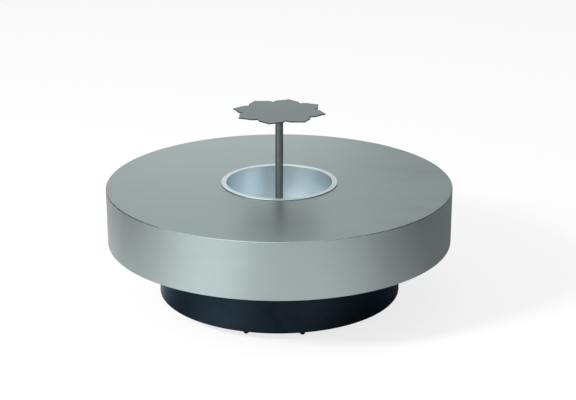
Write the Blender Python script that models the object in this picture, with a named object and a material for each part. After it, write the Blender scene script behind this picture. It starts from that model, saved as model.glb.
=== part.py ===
"""Round drum coffee table with a lift-out ice bowl and a drinks stand. Metres, +Z up.

The origin is on the floor under the middle of the table, with the front towards -Y. The drum is a box of boards,
hoops and ribs under a brushed steel skin, bolted to a dark plinth that stands on rubber feet. A steel bowl hangs
by its flange in the drum, and a post with a flower-shaped tray stands in a socket in the bowl."""

import math

import bmesh
import bpy
from mathutils import Matrix, Vector

# Clearances
seat_gap = 0.0003
overrun = 0.002
weld_distance = 0.000001

# Drum
table_radius = 0.55
drum_height = 0.179
side_skin_thickness = 0.0015
top_skin_thickness = 0.002
board_thickness = 0.015
hoop_thickness = 0.006
rib_thickness = 0.012
rib_count = 8

# Plinth
plinth_radius = 0.3885
plinth_height = 0.175
foot_ring_width = 0.096

# Feet
foot_height = 0.028
foot_top_radius = 0.017
foot_tip_radius = 0.0075
foot_tip_bevel = 0.001
foot_stem_radius = 0.004
foot_stem_length = 0.012
foot_count = 12
foot_turn = math.radians(-77.9)

# Bolts between the plinth and the drum
bolt_radius = 0.004
bolt_head_radius = 0.007
bolt_head_height = 0.0045
bolt_end = 0.003
washer_radius = 0.011
washer_thickness = 0.0016
insert_wall = 0.0015
insert_flange_radius = 0.011
insert_flange_thickness = 0.0015
insert_length = 0.010
insert_setback = 0.02745
bolt_count = 4

# Bowl
bowl_mouth_radius = 0.1683
bowl_flange_width = 0.0174
bowl_wall = 0.0015
bowl_corner_radius = 0.02
bowl_roll_radius = 0.002
bowl_lip_drop = 0.0027
bowl_side_clearance = 0.0035
bowl_floor_clearance = 0.0345
seal_thickness = 0.0015
seal_width = 0.006
seal_setback = 0.002
bowl_seat_depth = 0.0005
bowl_seat_clearance = 0.0015

# Socket in the bowl and the sleeve that turns in it
socket_height = 0.034
socket_wall = 0.004
socket_foot_radius = 0.034
socket_foot_thickness = 0.003
sleeve_wall = 0.0025
sleeve_floor = 0.003
sleeve_collar_width = 0.003
sleeve_collar_thickness = 0.002

# Drinks stand
tray_height = 0.235
tray_thickness = 0.004
post_radius = 0.0125
post_wall = 0.0015
plug_head_thickness = 0.003
plug_length = 0.02
hub_radius = 0.034
hub_thickness = 0.004
hub_spigot_length = 0.03
hub_screw_circle = 0.024
hub_screw_radius = 0.002
hub_screw_head_radius = 0.0035
hub_screw_head_height = 0.0022
hub_screw_bite = 0.0025
hub_screw_count = 3
petal_tip_radius = 0.1485
petal_notch_radius = 0.111
petal_count = 8
petal_turn = math.radians(-12.5)

# One side of a petal, from notch to tip, as a cubic curve: share of the way out, share of the half width
petal_side_shares = ((0.0, 1.0), (0.6, 1.02), (0.54, 0.5), (1.0, 0.0))
petal_side_steps = 8

# Facets
big_ring_segments = 72
bowl_segments = 48
post_segments = 24
small_segments = 12
corner_steps = 3
roll_steps = 2
sharp_angle = math.radians(35)

# Levels
drum_bottom = foot_height + plinth_height
table_top = drum_bottom + drum_height
tray_top = table_top + tray_height

# Radii that fit inside one another
board_radius = table_radius - side_skin_thickness - seat_gap
hoop_inner_radius = board_radius - hoop_thickness
bowl_outer_radius = bowl_mouth_radius + bowl_wall
bowl_flange_radius = bowl_mouth_radius + bowl_flange_width
bowl_seat_radius = bowl_flange_radius + bowl_seat_clearance
well_radius = bowl_outer_radius + bowl_side_clearance
well_outer_radius = well_radius + hoop_thickness
plinth_inner_radius = plinth_radius - hoop_thickness
plinth_board_radius = plinth_inner_radius - seat_gap
foot_ring_inner_radius = plinth_board_radius - foot_ring_width
foot_circle_radius = (plinth_board_radius + foot_ring_inner_radius) / 2
bolt_circle_radius = well_outer_radius + insert_setback + insert_flange_radius
bolt_hole_radius = bolt_radius + seat_gap
insert_radius = bolt_hole_radius + insert_wall
sleeve_bore_radius = post_radius + seat_gap
sleeve_radius = sleeve_bore_radius + sleeve_wall
socket_bore_radius = sleeve_radius + seat_gap
socket_radius = socket_bore_radius + socket_wall
post_bore_radius = post_radius - post_wall
spigot_radius = post_bore_radius - seat_gap

# Levels of the drum's boards
top_board_top = table_top - top_skin_thickness - seat_gap
top_board_bottom = top_board_top - board_thickness
bottom_board_top = drum_bottom + board_thickness
frame_bottom = bottom_board_top + seat_gap
frame_height = top_board_bottom - seat_gap - frame_bottom

# Levels of the bowl and the stand
seal_bottom = table_top - bowl_seat_depth + seat_gap
bowl_top = seal_bottom + seal_thickness + seat_gap + bowl_wall
bowl_floor = bottom_board_top + bowl_floor_clearance + bowl_wall
sleeve_bottom = bowl_floor + seat_gap
collar_bottom = bowl_floor + seat_gap + socket_height + seat_gap
plug_bottom = sleeve_bottom + sleeve_floor + seat_gap
post_bottom = plug_bottom + plug_head_thickness + seat_gap
tray_bottom = tray_top - tray_thickness
hub_bottom = tray_bottom - seat_gap - hub_thickness
post_top = hub_bottom - seat_gap


def finish(name, colour, roughness, metallic):
    """A plain Principled finish."""
    material = bpy.data.materials.new(name)
    material.use_nodes = True
    shader = material.node_tree.nodes["Principled BSDF"]
    shader.inputs["Base Color"].default_value = (*colour, 1.0)
    shader.inputs["Roughness"].default_value = roughness
    shader.inputs["Metallic"].default_value = metallic
    material.diffuse_color = (*colour, 1.0)
    return material


def arc(centre_radius, centre_height, radius, start_degrees, end_degrees, steps):
    """Points (radius, height) of a round stretch of a turned profile."""
    points = []
    for step in range(steps + 1):
        angle = math.radians(start_degrees + (end_degrees - start_degrees) * step / steps)
        points.append((centre_radius + radius * math.cos(angle), centre_height + radius * math.sin(angle)))
    return points


def mesh_object(name, bm, material, parent=None, location=(0.0, 0.0, 0.0), turn=0.0):
    """A named object made of a finished bmesh, with its normals outwards and its round faces smooth."""
    bmesh.ops.recalc_face_normals(bm, faces=bm.faces)
    mesh = bpy.data.meshes.new(name)
    bm.to_mesh(mesh)
    bm.free()
    mesh.shade_smooth()
    mesh.set_sharp_from_angle(angle=sharp_angle)
    mesh.materials.append(material)
    return placed_copy(name, mesh, parent, location, turn)


def placed_copy(name, mesh, parent=None, location=(0.0, 0.0, 0.0), turn=0.0):
    """An object that shows a mesh at a place, turned about Z."""
    piece = bpy.data.objects.new(name, mesh)
    piece.location = location
    piece.rotation_euler = (0.0, 0.0, turn)
    piece.parent = parent
    bpy.context.collection.objects.link(piece)
    return piece


def turned(name, profile, segments, material, parent=None, location=(0.0, 0.0, 0.0), turn=0.0):
    """A profile of (radius, height) points spun about Z. It is closed by an edge unless it ends on the axis."""
    bm = bmesh.new()
    corners = [bm.verts.new((radius, 0.0, height)) for radius, height in profile]
    pairs = list(zip(corners, corners[1:]))
    if profile[0][0] > 0 or profile[-1][0] > 0:
        pairs.append((corners[-1], corners[0]))
    edges = [bm.edges.new(pair) for pair in pairs]
    bmesh.ops.spin(
        bm,
        geom=corners + edges,
        cent=(0.0, 0.0, 0.0),
        axis=(0.0, 0.0, 1.0),
        angle=math.tau,
        steps=segments,
        use_merge=True,
    )
    bmesh.ops.remove_doubles(bm, verts=bm.verts, dist=weld_distance)
    return mesh_object(name, bm, material, parent, location, turn)


def ring(name, outer_radius, inner_radius, height, segments, material, parent=None, location=(0.0, 0.0, 0.0)):
    """A flat ring or a hoop with its lower face at its origin."""
    profile = [(inner_radius, 0.0), (outer_radius, 0.0), (outer_radius, height), (inner_radius, height)]
    return turned(name, profile, segments, material, parent, location)


def disc(name, radius, height, segments, material, parent=None, location=(0.0, 0.0, 0.0)):
    """A round board with its lower face at its origin."""
    profile = [(0.0, 0.0), (radius, 0.0), (radius, height), (0.0, height)]
    return turned(name, profile, segments, material, parent, location)


def empty(name, location, parent=None):
    """An empty on a joint's axis, for the pieces that move with it."""
    marker = bpy.data.objects.new(name, None)
    marker.location = location
    marker.parent = parent
    bpy.context.collection.objects.link(marker)
    return marker


def places_on_circle(count, radius, turn):
    """Angles and places of a round pattern."""
    places = []
    for index in range(count):
        angle = turn + math.tau * index / count
        places.append((angle, radius * math.cos(angle), radius * math.sin(angle)))
    return places


def drilled(piece, count, circle_radius, turn, hole_radius, bottom, height):
    """Holes through a piece, as one cutter of separate pins. bottom is a height in the piece's own frame."""
    bm = bmesh.new()
    for angle, x, y in places_on_circle(count, circle_radius, turn):
        middle = Matrix.Translation((x, y, bottom + height / 2)) @ Matrix.Rotation(angle, 4, "Z")
        bmesh.ops.create_cone(
            bm,
            cap_ends=True,
            segments=small_segments,
            radius1=hole_radius,
            radius2=hole_radius,
            depth=height,
            matrix=middle,
        )
    mesh = bpy.data.meshes.new(piece.name + "_drill")
    bm.to_mesh(mesh)
    bm.free()
    cutter = placed_copy(piece.name + "_drill", mesh, piece)
    cutter.hide_render = True
    cutter.display_type = "WIRE"
    cut = piece.modifiers.new("holes", "BOOLEAN")
    cut.operation = "DIFFERENCE"
    cut.solver = "EXACT"
    cut.object = cutter
    return piece


def petal_outline():
    """The tray's outline: each petal has a broad shoulder on both sides and a drawn-out tip."""
    half_angle = math.pi / petal_count
    notch = Vector((petal_notch_radius * math.cos(half_angle), petal_notch_radius * math.sin(half_angle)))
    side = []
    for out_share, across_share in petal_side_shares:
        side.append(Vector((notch.x + (petal_tip_radius - notch.x) * out_share, notch.y * across_share)))
    curve = []
    for step in range(petal_side_steps + 1):
        t = step / petal_side_steps
        weights = ((1 - t) ** 3, 3 * t * (1 - t) ** 2, 3 * t * t * (1 - t), t**3)
        curve.append(sum((point * weight for point, weight in zip(side, weights)), Vector((0.0, 0.0))))
    from_notch_to_tip = [Vector((point.x, -point.y)) for point in curve]
    from_tip_to_next = [curve[step] for step in range(petal_side_steps - 1, 0, -1)]
    petal = from_notch_to_tip + from_tip_to_next
    outline = []
    for index in range(petal_count):
        turn = Matrix.Rotation(petal_turn + math.tau * index / petal_count, 2)
        outline.extend(turn @ point for point in petal)
    return outline


def make_drum(steel, board, bent_board):
    """Steel skin over boards, hoops and ribs. A shallow seat round the top's hole takes the bowl's flange."""
    top_profile = [
        (well_radius, 0.0),
        (table_radius, 0.0),
        (table_radius, top_skin_thickness),
        (bowl_seat_radius, top_skin_thickness),
        (bowl_seat_radius, top_skin_thickness - bowl_seat_depth),
        (well_radius, top_skin_thickness - bowl_seat_depth),
    ]
    turned("top_skin", top_profile, big_ring_segments, steel,
           location=(0.0, 0.0, table_top - top_skin_thickness))
    ring("side_skin", table_radius, table_radius - side_skin_thickness,
         drum_height - top_skin_thickness - seat_gap, big_ring_segments, steel,
         location=(0.0, 0.0, drum_bottom))
    ring("top_board", board_radius, well_radius, board_thickness, big_ring_segments, board,
         location=(0.0, 0.0, top_board_bottom))
    ring("side_hoop", board_radius, hoop_inner_radius, frame_height, big_ring_segments, bent_board,
         location=(0.0, 0.0, frame_bottom))
    ring("well_hoop", well_outer_radius, well_radius, frame_height, big_ring_segments, bent_board,
         location=(0.0, 0.0, frame_bottom))
    base = disc("drum_bottom_board", board_radius, board_thickness, big_ring_segments, board,
                location=(0.0, 0.0, drum_bottom))
    drilled(base, bolt_count, bolt_circle_radius, math.pi / rib_count, insert_radius + seat_gap,
            -overrun, board_thickness + 2 * overrun)


def make_ribs(board):
    """Radial boards between the well hoop and the side hoop."""
    inner_end = well_outer_radius + seat_gap
    outer_end = hoop_inner_radius * math.cos(math.pi / big_ring_segments) - seat_gap
    length = outer_end - inner_end
    middle = (inner_end + outer_end) / 2
    for index, (angle, x, y) in enumerate(places_on_circle(rib_count, middle, 0.0), start=1):
        bm = bmesh.new()
        size = Matrix.Diagonal((length, rib_thickness, frame_height, 1.0))
        bmesh.ops.create_cube(bm, size=1.0, matrix=size)
        mesh_object(f"drum_rib_{index}", bm, board,
                    location=(x, y, frame_bottom + frame_height / 2), turn=angle)


def make_plinth(lacquer, board, rubber):
    """A bent hoop with a board at its top and a ring with feet at its bottom."""
    ring("plinth_hoop", plinth_radius, plinth_inner_radius, plinth_height - seat_gap, big_ring_segments, lacquer,
         location=(0.0, 0.0, foot_height))
    top = disc("plinth_top_board", plinth_board_radius, board_thickness, big_ring_segments, board,
               location=(0.0, 0.0, drum_bottom - seat_gap - board_thickness))
    drilled(top, bolt_count, bolt_circle_radius, math.pi / rib_count, bolt_hole_radius,
            -overrun, board_thickness + 2 * overrun)
    foot_board = ring("foot_ring", plinth_board_radius, foot_ring_inner_radius, board_thickness,
                      big_ring_segments, board, location=(0.0, 0.0, foot_height + seat_gap))
    drilled(foot_board, foot_count, foot_circle_radius, foot_turn, foot_stem_radius + seat_gap,
            -overrun, board_thickness + 2 * overrun)
    profile = [
        (0.0, 0.0),
        (foot_tip_radius - foot_tip_bevel, 0.0),
        (foot_tip_radius, foot_tip_bevel),
        (foot_top_radius, foot_height),
        (foot_stem_radius, foot_height),
        (foot_stem_radius, foot_height + foot_stem_length),
        (0.0, foot_height + foot_stem_length),
    ]
    mesh = None
    for index, (angle, x, y) in enumerate(places_on_circle(foot_count, foot_circle_radius, foot_turn), start=1):
        name = f"foot_{index:02d}"
        if mesh is None:
            mesh = turned(name, profile, small_segments, rubber, location=(x, y, 0.0), turn=angle).data
        else:
            placed_copy(name, mesh, location=(x, y, 0.0), turn=angle)


def make_bolts(zinc):
    """Bolts up through the plinth's board into flanged inserts in the drum's board, on washers."""
    board_underside = drum_bottom - seat_gap - board_thickness
    washer_bottom = board_underside - seat_gap - washer_thickness
    head_bottom = washer_bottom - seat_gap - bolt_head_height
    insert_flange_bottom = bottom_board_top + seat_gap
    shank_end = insert_flange_bottom + insert_flange_thickness + bolt_end
    bolt_profile = [
        (0.0, 0.0),
        (bolt_head_radius, 0.0),
        (bolt_head_radius, bolt_head_height),
        (bolt_radius, bolt_head_height),
        (bolt_radius, shank_end - head_bottom),
        (0.0, shank_end - head_bottom),
    ]
    insert_profile = [
        (bolt_hole_radius, 0.0),
        (insert_radius, 0.0),
        (insert_radius, insert_length),
        (insert_flange_radius, insert_length),
        (insert_flange_radius, insert_length + insert_flange_thickness),
        (bolt_hole_radius, insert_length + insert_flange_thickness),
    ]
    places = places_on_circle(bolt_count, bolt_circle_radius, math.pi / rib_count)
    for index, (angle, x, y) in enumerate(places, start=1):
        turned(f"drum_bolt_{index}", bolt_profile, small_segments, zinc,
               location=(x, y, head_bottom), turn=angle)
        turned(f"drum_bolt_insert_{index}", insert_profile, small_segments, zinc,
               location=(x, y, insert_flange_bottom - insert_length), turn=angle)
        washer_profile = [
            (bolt_hole_radius, 0.0),
            (washer_radius, 0.0),
            (washer_radius, washer_thickness),
            (bolt_hole_radius, washer_thickness),
        ]
        turned(f"drum_bolt_washer_{index}", washer_profile, small_segments, zinc,
               location=(x, y, washer_bottom), turn=angle)


def make_bowl(lift, polished, rubber):
    """A spun bowl with a rolled flange, its rubber ring and the socket on its floor, placed from the table top."""
    floor = bowl_floor - table_top
    top = bowl_top - table_top
    corner_centre = bowl_mouth_radius - bowl_corner_radius
    profile = [(0.0, floor)]
    profile += arc(corner_centre, floor + bowl_corner_radius, bowl_corner_radius, -90, 0, corner_steps)
    profile += arc(bowl_mouth_radius + bowl_roll_radius, top - bowl_roll_radius, bowl_roll_radius, 180, 90,
                   roll_steps)
    profile += arc(bowl_flange_radius - bowl_roll_radius, top - bowl_roll_radius, bowl_roll_radius, 90, 0,
                   roll_steps)
    profile += [
        (bowl_flange_radius, top - bowl_lip_drop),
        (bowl_flange_radius - bowl_wall, top - bowl_lip_drop),
        (bowl_flange_radius - bowl_wall, top - bowl_wall),
        (bowl_outer_radius, top - bowl_wall),
    ]
    profile += arc(corner_centre, floor + bowl_corner_radius, bowl_corner_radius + bowl_wall, 0, -90,
                   corner_steps)
    profile.append((0.0, floor - bowl_wall))
    turned("ice_bowl", profile, bowl_segments, polished, lift)

    seal_outer_radius = bowl_flange_radius - bowl_wall - seal_setback
    ring("bowl_seal_ring", seal_outer_radius, seal_outer_radius - seal_width, seal_thickness, bowl_segments,
         rubber, lift, (0.0, 0.0, seal_bottom - table_top))

    socket_profile = [
        (socket_bore_radius, 0.0),
        (socket_foot_radius, 0.0),
        (socket_foot_radius, socket_foot_thickness),
        (socket_radius, socket_foot_thickness),
        (socket_radius, socket_height),
        (socket_bore_radius, socket_height),
    ]
    turned("post_socket", socket_profile, post_segments, polished, lift, (0.0, 0.0, floor + seat_gap))


def make_sleeve(turn_marker, nylon):
    """A collared cup that turns in the socket and holds the post's foot, placed from its own bottom."""
    collar_low = collar_bottom - sleeve_bottom
    collar_high = collar_low + sleeve_collar_thickness
    profile = [
        (0.0, 0.0),
        (sleeve_radius, 0.0),
        (sleeve_radius, collar_low),
        (sleeve_radius + sleeve_collar_width, collar_low),
        (sleeve_radius + sleeve_collar_width, collar_high),
        (sleeve_bore_radius, collar_high),
        (sleeve_bore_radius, sleeve_floor),
        (0.0, sleeve_floor),
    ]
    turned("turning_sleeve", profile, post_segments, nylon, turn_marker)


def make_stand(lift, dark_steel, steel, nylon, zinc):
    """Post, its foot plug, the hub and the flower tray, placed from the plug's underside."""
    ring("post_tube", post_radius, post_bore_radius, post_top - post_bottom, post_segments, dark_steel, lift,
         (0.0, 0.0, post_bottom - plug_bottom))
    plug_profile = [
        (0.0, 0.0),
        (post_radius, 0.0),
        (post_radius, plug_head_thickness),
        (spigot_radius, plug_head_thickness),
        (spigot_radius, plug_head_thickness + plug_length),
        (0.0, plug_head_thickness + plug_length),
    ]
    turned("post_plug", plug_profile, post_segments, nylon, lift)

    hub_profile = [
        (0.0, -hub_spigot_length),
        (spigot_radius, -hub_spigot_length),
        (spigot_radius, 0.0),
        (hub_radius, 0.0),
        (hub_radius, hub_thickness),
        (0.0, hub_thickness),
    ]
    hub = turned("tray_hub", hub_profile, post_segments, steel, lift, (0.0, 0.0, hub_bottom - plug_bottom))
    screw_hole_radius = hub_screw_radius + seat_gap
    drilled(hub, hub_screw_count, hub_screw_circle, petal_turn, screw_hole_radius,
            -overrun, hub_thickness + 2 * overrun)

    bm = bmesh.new()
    face = bm.faces.new([bm.verts.new((point.x, point.y, 0.0)) for point in petal_outline()])
    raised = bmesh.ops.extrude_face_region(bm, geom=[face])
    top_corners = [item for item in raised["geom"] if isinstance(item, bmesh.types.BMVert)]
    bmesh.ops.translate(bm, verts=top_corners, vec=(0.0, 0.0, tray_thickness))
    tray = mesh_object("flower_tray", bm, steel, lift, (0.0, 0.0, tray_bottom - plug_bottom))
    drilled(tray, hub_screw_count, hub_screw_circle, petal_turn, screw_hole_radius,
            -overrun, overrun + hub_screw_bite + seat_gap)

    shank_length = seat_gap + hub_thickness + seat_gap + hub_screw_bite
    screw_profile = [
        (0.0, 0.0),
        (hub_screw_head_radius, 0.0),
        (hub_screw_head_radius, hub_screw_head_height),
        (hub_screw_radius, hub_screw_head_height),
        (hub_screw_radius, hub_screw_head_height + shank_length),
        (0.0, hub_screw_head_height + shank_length),
    ]
    screw_bottom = hub_bottom - seat_gap - hub_screw_head_height - plug_bottom
    places = places_on_circle(hub_screw_count, hub_screw_circle, petal_turn)
    for index, (angle, x, y) in enumerate(places, start=1):
        turned(f"hub_screw_{index}", screw_profile, small_segments, zinc, lift, (x, y, screw_bottom), angle)


for item in list(bpy.data.objects):
    bpy.data.objects.remove(item, do_unlink=True)

brushed_steel = finish("brushed_steel", (0.30, 0.34, 0.34), 0.34, 1.0)
polished_steel = finish("polished_steel", (0.62, 0.65, 0.66), 0.12, 1.0)
dark_steel = finish("dark_steel", (0.16, 0.17, 0.18), 0.3, 1.0)
zinc_steel = finish("zinc_steel", (0.45, 0.45, 0.43), 0.4, 1.0)
plinth_lacquer = finish("plinth_lacquer", (0.012, 0.018, 0.026), 0.32, 0.0)
pressed_board = finish("pressed_board", (0.33, 0.22, 0.13), 0.8, 0.0)
bent_board = finish("bent_board", (0.42, 0.30, 0.18), 0.75, 0.0)
black_board = finish("black_board", (0.02, 0.02, 0.022), 0.6, 0.0)
black_rubber = finish("black_rubber", (0.015, 0.015, 0.016), 0.7, 0.0)
white_nylon = finish("white_nylon", (0.6, 0.6, 0.57), 0.5, 0.0)

bowl_lift = empty("bowl_lift", (0.0, 0.0, table_top))
stand_turn = empty("stand_turn", (0.0, 0.0, sleeve_bottom - table_top), bowl_lift)
stand_lift = empty("stand_lift", (0.0, 0.0, plug_bottom - sleeve_bottom), stand_turn)

make_drum(brushed_steel, pressed_board, bent_board)
make_ribs(pressed_board)
make_plinth(plinth_lacquer, black_board, black_rubber)
make_bolts(zinc_steel)
make_bowl(bowl_lift, polished_steel, black_rubber)
make_sleeve(stand_turn, white_nylon)
make_stand(stand_lift, dark_steel, brushed_steel, white_nylon, zinc_steel)
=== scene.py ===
# %% [markdown]
# # A round drum coffee table in brushed steel
# The construction of this table is already settled: its boards, hoops, bolts, bowl and stand are loaded here
# as a fixed frame. What is left is what the eye meets. Each visible piece gets a smooth surface and a finish
# with the marks of how it was made. The frame is loaded first, so that every size below can be read from it.

# %% Load the frame
import math

import bmesh
import bpy
from mathutils import Matrix, Vector


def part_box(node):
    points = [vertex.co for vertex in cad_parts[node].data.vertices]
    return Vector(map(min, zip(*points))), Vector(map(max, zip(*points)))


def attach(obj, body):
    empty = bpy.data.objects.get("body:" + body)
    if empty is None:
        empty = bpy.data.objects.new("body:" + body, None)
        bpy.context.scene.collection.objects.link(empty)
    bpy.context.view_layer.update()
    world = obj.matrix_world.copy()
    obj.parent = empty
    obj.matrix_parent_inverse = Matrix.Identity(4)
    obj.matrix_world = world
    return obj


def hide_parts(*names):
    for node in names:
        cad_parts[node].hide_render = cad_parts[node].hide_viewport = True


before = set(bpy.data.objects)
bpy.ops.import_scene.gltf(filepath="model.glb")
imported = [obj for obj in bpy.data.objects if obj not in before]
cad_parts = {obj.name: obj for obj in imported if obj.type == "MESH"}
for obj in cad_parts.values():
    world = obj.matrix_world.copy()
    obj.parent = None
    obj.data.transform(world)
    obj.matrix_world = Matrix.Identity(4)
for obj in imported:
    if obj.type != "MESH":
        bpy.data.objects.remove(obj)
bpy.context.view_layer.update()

# %% [markdown]
# ## Reading sizes from the frame
# Nearly every piece of a drum table is round and stands on one upright axis, so four numbers describe it: an
# inner and an outer radius, a bottom and a top. Typing them again would let the two models drift apart. They
# are read from the points of each frame piece instead.

# %% Round sizes
level_digits = 5
level_match = 0.00002
point_match = 0.0001


def points_of(name):
    """The corner points of a frame piece."""
    return [vertex.co.copy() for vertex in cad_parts[name].data.vertices]


def round_sizes(name):
    """Inner radius, outer radius, bottom and top of a piece on the table's axis."""
    points = points_of(name)
    radii = [point.to_2d().length for point in points]
    heights = [point.z for point in points]
    return min(radii), max(radii), min(heights), max(heights)


def middle_of(name):
    """The middle of a frame piece's box."""
    low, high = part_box(name)
    return (low + high) / 2


def levels_of(name):
    """The heights at which a frame piece has points, from low to high."""
    return sorted({round(point.z, level_digits) for point in points_of(name)})


def radii_at(name, level):
    """Smallest and largest distance of a frame piece's points from its own upright axis, at one level."""
    axis = middle_of(name).to_2d()
    radii = [(point.to_2d() - axis).length for point in points_of(name) if abs(point.z - level) < level_match]
    return min(radii), max(radii)


def names_of(start):
    """Names of the frame pieces that are numbered copies of one another."""
    return sorted(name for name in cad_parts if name.startswith(start) and name[len(start):].isdigit())


well_radius, table_radius, top_low, table_top = round_sizes("top_skin")
print(f"table radius {table_radius:.4f}, top {table_top:.4f}, well radius {well_radius:.4f}")

# %% [markdown]
# ## The camera
# A camera can be guessed by eye, or solved from the picture. Here the ellipses of the table's top and base
# were used: their widths, heights and places fix the distance, the pitch and the lens. The long lens stands
# some way off, which keeps the ellipses calm. It looks a trace to the right of the table's axis, as the
# picture does.

# %% Camera
camera_place = (0.0, -4.2674, 1.7735)
camera_pitch = math.radians(18.794)
camera_pan = math.radians(0.372)
camera_lens = 87.85
camera_sensor = 36.0

bpy.ops.object.camera_add(location=camera_place, rotation=(math.pi / 2 - camera_pitch, 0.0, -camera_pan))
camera = bpy.context.object
camera.name = "camera"
camera.data.lens = camera_lens
camera.data.sensor_width = camera_sensor
bpy.context.scene.camera = camera
bpy.context.scene.view_settings.view_transform = "Standard"
print(f"camera {camera_lens} mm at {camera_place}")

# %% [markdown]
# ## Small helpers for nodes
# Materials and the world are networks of nodes. A few short helpers keep them readable: one adds a node, sets
# its choices and fills or links its inputs, and the others do one step of arithmetic, mix two colours, add
# soft patches of brightness or start an empty material. A value that is a socket becomes a link, and anything
# else is written on the input itself.

# %% Node helpers
def node(tree, kind, inputs=None, **choices):
    """Adds a node to a tree, with its choices and inputs."""
    made = tree.nodes.new(kind)
    for name, value in choices.items():
        setattr(made, name, value)
    for name, value in (inputs or {}).items():
        if isinstance(value, bpy.types.NodeSocket):
            tree.links.new(value, made.inputs[name])
        else:
            made.inputs[name].default_value = value
    return made


def maths(tree, operation, first, second=0.0, third=0.0, clamp=False):
    """One step of arithmetic on up to three values."""
    inputs = {0: first, 1: second, 2: third}
    return node(tree, "ShaderNodeMath", inputs, operation=operation, use_clamp=clamp).outputs[0]


def vector_maths(tree, operation, *vectors):
    """One step of arithmetic on vectors. A length, a distance or a product comes out as a plain value."""
    made = node(tree, "ShaderNodeVectorMath", dict(enumerate(vectors)), operation=operation)
    return made.outputs["Value" if operation in ("LENGTH", "DISTANCE", "DOT_PRODUCT") else "Vector"]


def ranged(tree, value, low, high, new_low, new_high):
    """A value moved from one range to another, with a soft start and end."""
    inputs = {"Value": value, "From Min": low, "From Max": high, "To Min": new_low, "To Max": new_high}
    return node(tree, "ShaderNodeMapRange", inputs, interpolation_type="SMOOTHSTEP").outputs["Result"]


def colour(red, green, blue):
    """A colour with its alpha."""
    return (red, green, blue, 1.0)


def mixed(tree, share, first, second):
    """Two colours mixed by a share from 0 to 1."""
    return node(tree, "ShaderNodeMix", {0: share, 6: first, 7: second}, data_type="RGBA").outputs[2]


def with_patches(tree, value, direction, patches):
    """A brightness with soft patches added. Each has an aim, its start, where it is full, and its change."""
    for aim, start, full, change in patches:
        facing = vector_maths(tree, "DOT_PRODUCT", direction, aim)
        value = maths(tree, "ADD", value, ranged(tree, facing, start, full, 0.0, change))
    return value


def empty_material(name):
    """A material and its empty node tree."""
    material = bpy.data.materials.new(name)
    material.use_nodes = True
    material.node_tree.nodes.clear()
    return material, material.node_tree


print("node helpers ready")

# %% [markdown]
# ## The floor
# The table stands on a plain white sweep. A white floor could be reached with more light, but that would
# bleach the table as well. Instead the floor is a pale diffuse surface that takes the shadow, and wherever
# the camera looks at it, most of it is a plain white glow. Metal sees the floor with its full shadow, and in
# the colour that metal sees, a pool of light is painted: white on the lamp's side and greyer further out.
# Soft patches of painted light and painted shade correct that: the far ones lie in one direction each and
# shade the steel band, and the near ones are painted spots beside the plinth, which give the dark hoop its
# highlight, its pale left end and its nearly black right side. Seen from below the floor is clear, so that
# the underside can be looked at.

# %% Floor
floor_size = 60.0
floor_colour = colour(0.80, 0.805, 0.81)
glow_share = 0.64
glow_strength = 1.21
pool_place = (-0.34, -1.0, 0.0)
pool_near = 0.9
pool_far = 2.0
painted_pool_bright = 1.12
painted_pool_dark = 0.34
# A far patch paints light where its change is positive and shade where it is negative.
# Its aim, the two cosines where it starts and is full, and its change.
far_painted_patches = (
    ((-0.62, -0.78, 0.0), 0.88, 0.96, 0.20),
    ((-1.0, 0.1, 0.0), 0.55, 0.95, -0.12),
    ((0.5, -0.87, 0.0), 0.90, 0.98, 0.13),
    ((0.94, -0.34, 0.0), 0.90, 0.99, -0.05),
    ((0.9, 0.43, 0.0), 0.90, 0.99, 0.10),
    ((-0.5, 0.87, 0.0), 0.5, 0.95, 0.55),
)
# A near patch paints light on the floor where its change is positive and shade where it is negative.
# Its centre, the two distances to where it is full and where it ends, and its change.
near_painted_patches = (
    ((-0.26, -0.44, 0.0), 0.04, 0.25, 1.2),
    ((-0.55, 0.10, 0.0), 0.08, 0.30, 0.9),
    ((-0.16, -0.58, 0.0), 0.04, 0.22, -0.45),
    ((0.42, -0.42, 0.0), 0.08, 0.32, -0.6),
    ((-1.2, -0.95, 0.0), 0.15, 0.60, -0.2),
)


def make_floor_material():
    """Pale for soft light, glowing for the camera, and for metal a painted pool of light with painted
    patches.
    """
    material, tree = empty_material("white_sweep")
    place = node(tree, "ShaderNodeNewGeometry").outputs
    path = node(tree, "ShaderNodeLightPath").outputs
    away = vector_maths(tree, "DISTANCE", place["Position"], pool_place)
    painted_pool = ranged(tree, away, pool_near, pool_far, painted_pool_bright, painted_pool_dark)
    painted_pool = with_patches(tree, painted_pool, vector_maths(tree, "NORMALIZE", place["Position"]), far_painted_patches)
    for centre, full, end, change in near_painted_patches:
        away = vector_maths(tree, "DISTANCE", place["Position"], centre)
        painted_pool = maths(tree, "ADD", painted_pool, ranged(tree, away, full, end, change, 0.0))
    # For glossy rays the floor's colour is the painted pool of light, with its painted patches of light and
    # shade.
    shade = mixed(tree, path["Is Glossy Ray"], floor_colour, painted_pool)
    surface = node(tree, "ShaderNodeBsdfDiffuse", {"Color": shade})
    glow = node(tree, "ShaderNodeEmission", {"Strength": glow_strength})
    looked_at = maths(tree, "MAXIMUM", path["Is Camera Ray"], path["Is Transmission Ray"])
    share = maths(tree, "MULTIPLY", looked_at, glow_share)
    lit = node(tree, "ShaderNodeMixShader", {0: share, 1: surface.outputs[0], 2: glow.outputs[0]})
    clear = node(tree, "ShaderNodeBsdfTransparent")
    both = node(tree, "ShaderNodeMixShader", {0: place["Backfacing"], 1: lit.outputs[0], 2: clear.outputs[0]})
    node(tree, "ShaderNodeOutputMaterial", {"Surface": both.outputs[0]})
    return material


bpy.ops.mesh.primitive_plane_add(size=floor_size, location=(0.0, 0.0, 0.0))
floor = bpy.context.object
floor.name = "floor"
floor.data.materials.append(make_floor_material())
print("floor", floor.dimensions.x, "m wide")

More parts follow.
